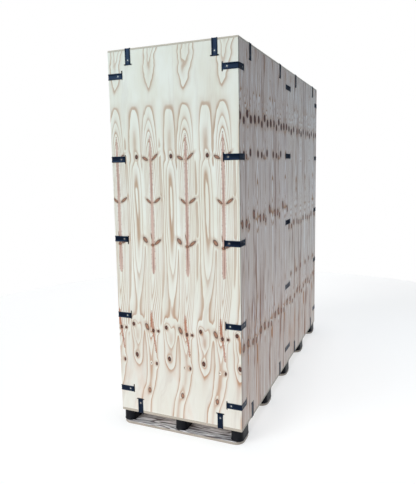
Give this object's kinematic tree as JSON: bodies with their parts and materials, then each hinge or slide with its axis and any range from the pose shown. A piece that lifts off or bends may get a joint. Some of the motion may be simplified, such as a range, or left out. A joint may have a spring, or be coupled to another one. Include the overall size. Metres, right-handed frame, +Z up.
{
  "type": "shipping crate",
  "caption": "Tall, narrow knock-down plywood shipping crate held together by spring-steel corner clips in routed slots, on plastic feet and plywood skids, with a lift-off lid.",
  "frame": {"origin": "on the ground under the middle of the crate, at the skids' underside", "axes": "+Z up along the height; +X across the narrow width; -Y out of the narrow front face"},
  "size_m": [0.9046, 2.476, 2.5662],
  "materials": {
    "plywood": "bare rotary-cut pine plywood with knots, matt",
    "skid_plywood": "rough weathered plywood, grey-brown",
    "foot_plastic": "black moulded plastic, satin",
    "clip_steel": "black coated spring steel, satin"
  },
  "bodies": {
    "root": {"front_panel": "plywood", "rear_panel": "plywood", "left_panel_front": "plywood", "left_panel_rear": "plywood", "right_panel_front": "plywood", "right_panel_rear": "plywood", "deck_front": "plywood", "deck_rear": "plywood", "skid_front": "skid_plywood", "skid_second": "skid_plywood", "skid_middle": "skid_plywood", "skid_fourth": "skid_plywood", "skid_rear": "skid_plywood", "foot_front_left": "foot_plastic", "foot_front_centre": "foot_plastic", "foot_front_right": "foot_plastic", "foot_second_left": "foot_plastic", "foot_second_centre": "foot_plastic", "foot_second_right": "foot_plastic", "foot_middle_left": "foot_plastic", "foot_middle_centre": "foot_plastic", "foot_middle_right": "foot_plastic", "foot_fourth_left": "foot_plastic", "foot_fourth_centre": "foot_plastic", "foot_fourth_right": "foot_plastic", "foot_rear_left": "foot_plastic", "foot_rear_centre": "foot_plastic", "foot_rear_right": "foot_plastic"},
    "lid": {"lid_front": "plywood", "lid_rear": "plywood"},
    "corner_clips_front_left": {"corner_clip_front_left_low": "clip_steel", "corner_clip_front_left_high": "clip_steel"},
    "corner_clips_front_right": {"corner_clip_front_right_low": "clip_steel", "corner_clip_front_right_high": "clip_steel"},
    "corner_clips_rear_left": {"corner_clip_rear_left_low": "clip_steel", "corner_clip_rear_left_high": "clip_steel"},
    "corner_clips_rear_right": {"corner_clip_rear_right_low": "clip_steel", "corner_clip_rear_right_high": "clip_steel"},
    "seam_clips_left": {"seam_clip_left_low": "clip_steel", "seam_clip_left_high": "clip_steel"},
    "seam_clips_right": {"seam_clip_right_low": "clip_steel", "seam_clip_right_high": "clip_steel"},
    "lid_seam_clips": {"lid_seam_clip_left": "clip_steel", "lid_seam_clip_right": "clip_steel"},
    "lid_clips_front": {"lid_clip_front_left": "clip_steel", "lid_clip_front_right": "clip_steel"},
    "base_clips_front": {"base_clip_front_left": "clip_steel", "base_clip_front_right": "clip_steel"},
    "lid_clips_rear": {"lid_clip_rear_left": "clip_steel", "lid_clip_rear_right": "clip_steel"},
    "base_clips_rear": {"base_clip_rear_left": "clip_steel", "base_clip_rear_right": "clip_steel"},
    "lid_clips_left": {"lid_clip_left_front": "clip_steel", "lid_clip_left_rear": "clip_steel"},
    "base_clips_left": {"base_clip_left_front": "clip_steel", "base_clip_left_rear": "clip_steel"},
    "lid_clips_right": {"lid_clip_right_front": "clip_steel", "lid_clip_right_rear": "clip_steel"},
    "base_clips_right": {"base_clip_right_front": "clip_steel", "base_clip_right_rear": "clip_steel"}
  },
  "joints": [
    {"name": "lid_lift", "type": "slide", "parent": "root", "child": "lid", "axis": [0, 0, 1], "range_m": [0, 0.15]},
    {"name": "corner_clips_front_left_release", "type": "hinge", "parent": "root", "child": "corner_clips_front_left", "pos_m": [-0.45, -1.13, 1.3286], "axis": [0, 0, -1], "range_deg": [0, 60]},
    {"name": "corner_clips_front_right_release", "type": "hinge", "parent": "root", "child": "corner_clips_front_right", "pos_m": [0.45, -1.13, 1.3286], "axis": [0, 0, 1], "range_deg": [0, 60]},
    {"name": "corner_clips_rear_left_release", "type": "hinge", "parent": "root", "child": "corner_clips_rear_left", "pos_m": [-0.45, 1.13, 1.3286], "axis": [0, 0, 1], "range_deg": [0, 60]},
    {"name": "corner_clips_rear_right_release", "type": "hinge", "parent": "root", "child": "corner_clips_rear_right", "pos_m": [0.45, 1.13, 1.3286], "axis": [0, 0, -1], "range_deg": [0, 60]},
    {"name": "seam_clips_left_release", "type": "hinge", "parent": "root", "child": "seam_clips_left", "pos_m": [-0.45, -0.08, 1.3286], "axis": [0, 0, 1], "range_deg": [0, 60]},
    {"name": "seam_clips_right_release", "type": "hinge", "parent": "root", "child": "seam_clips_right", "pos_m": [0.45, -0.08, 1.3286], "axis": [0, 0, -1], "range_deg": [0, 60]},
    {"name": "lid_seam_clips_release", "type": "hinge", "parent": "lid", "child": "lid_seam_clips", "pos_m": [0, -0.08, 2.5639], "axis": [1, 0, 0], "range_deg": [0, 60]},
    {"name": "lid_clips_front_release", "type": "hinge", "parent": "lid", "child": "lid_clips_front", "pos_m": [0, -1.13, 2.5639], "axis": [-1, 0, 0], "range_deg": [0, 80]},
    {"name": "base_clips_front_release", "type": "hinge", "parent": "root", "child": "base_clips_front", "pos_m": [0, -1.13, 0.0933], "axis": [1, 0, 0], "range_deg": [0, 35]},
    {"name": "lid_clips_rear_release", "type": "hinge", "parent": "lid", "child": "lid_clips_rear", "pos_m": [0, 1.13, 2.5639], "axis": [1, 0, 0], "range_deg": [0, 80]},
    {"name": "base_clips_rear_release", "type": "hinge", "parent": "root", "child": "base_clips_rear", "pos_m": [0, 1.13, 0.0933], "axis": [-1, 0, 0], "range_deg": [0, 35]},
    {"name": "lid_clips_left_release", "type": "hinge", "parent": "lid", "child": "lid_clips_left", "pos_m": [-0.348, 0, 2.5639], "axis": [0, 1, 0], "range_deg": [0, 80]},
    {"name": "base_clips_left_release", "type": "hinge", "parent": "root", "child": "base_clips_left", "pos_m": [-0.348, 0, 0.0933], "axis": [0, -1, 0], "range_deg": [0, 35]},
    {"name": "lid_clips_right_release", "type": "hinge", "parent": "lid", "child": "lid_clips_right", "pos_m": [0.348, 0, 2.5639], "axis": [0, -1, 0], "range_deg": [0, 80]},
    {"name": "base_clips_right_release", "type": "hinge", "parent": "root", "child": "base_clips_right", "pos_m": [0.348, 0, 0.0933], "axis": [0, 1, 0], "range_deg": [0, 35]}
  ],
  "couplings": [
    {"joint": "lid_clips_front_release", "follows": "lid_lift", "rad_per_m": 9.3},
    {"joint": "lid_clips_rear_release", "follows": "lid_lift", "rad_per_m": 9.3},
    {"joint": "lid_clips_left_release", "follows": "lid_lift", "rad_per_m": 9.3},
    {"joint": "lid_clips_right_release", "follows": "lid_lift", "rad_per_m": 9.3}
  ]
}
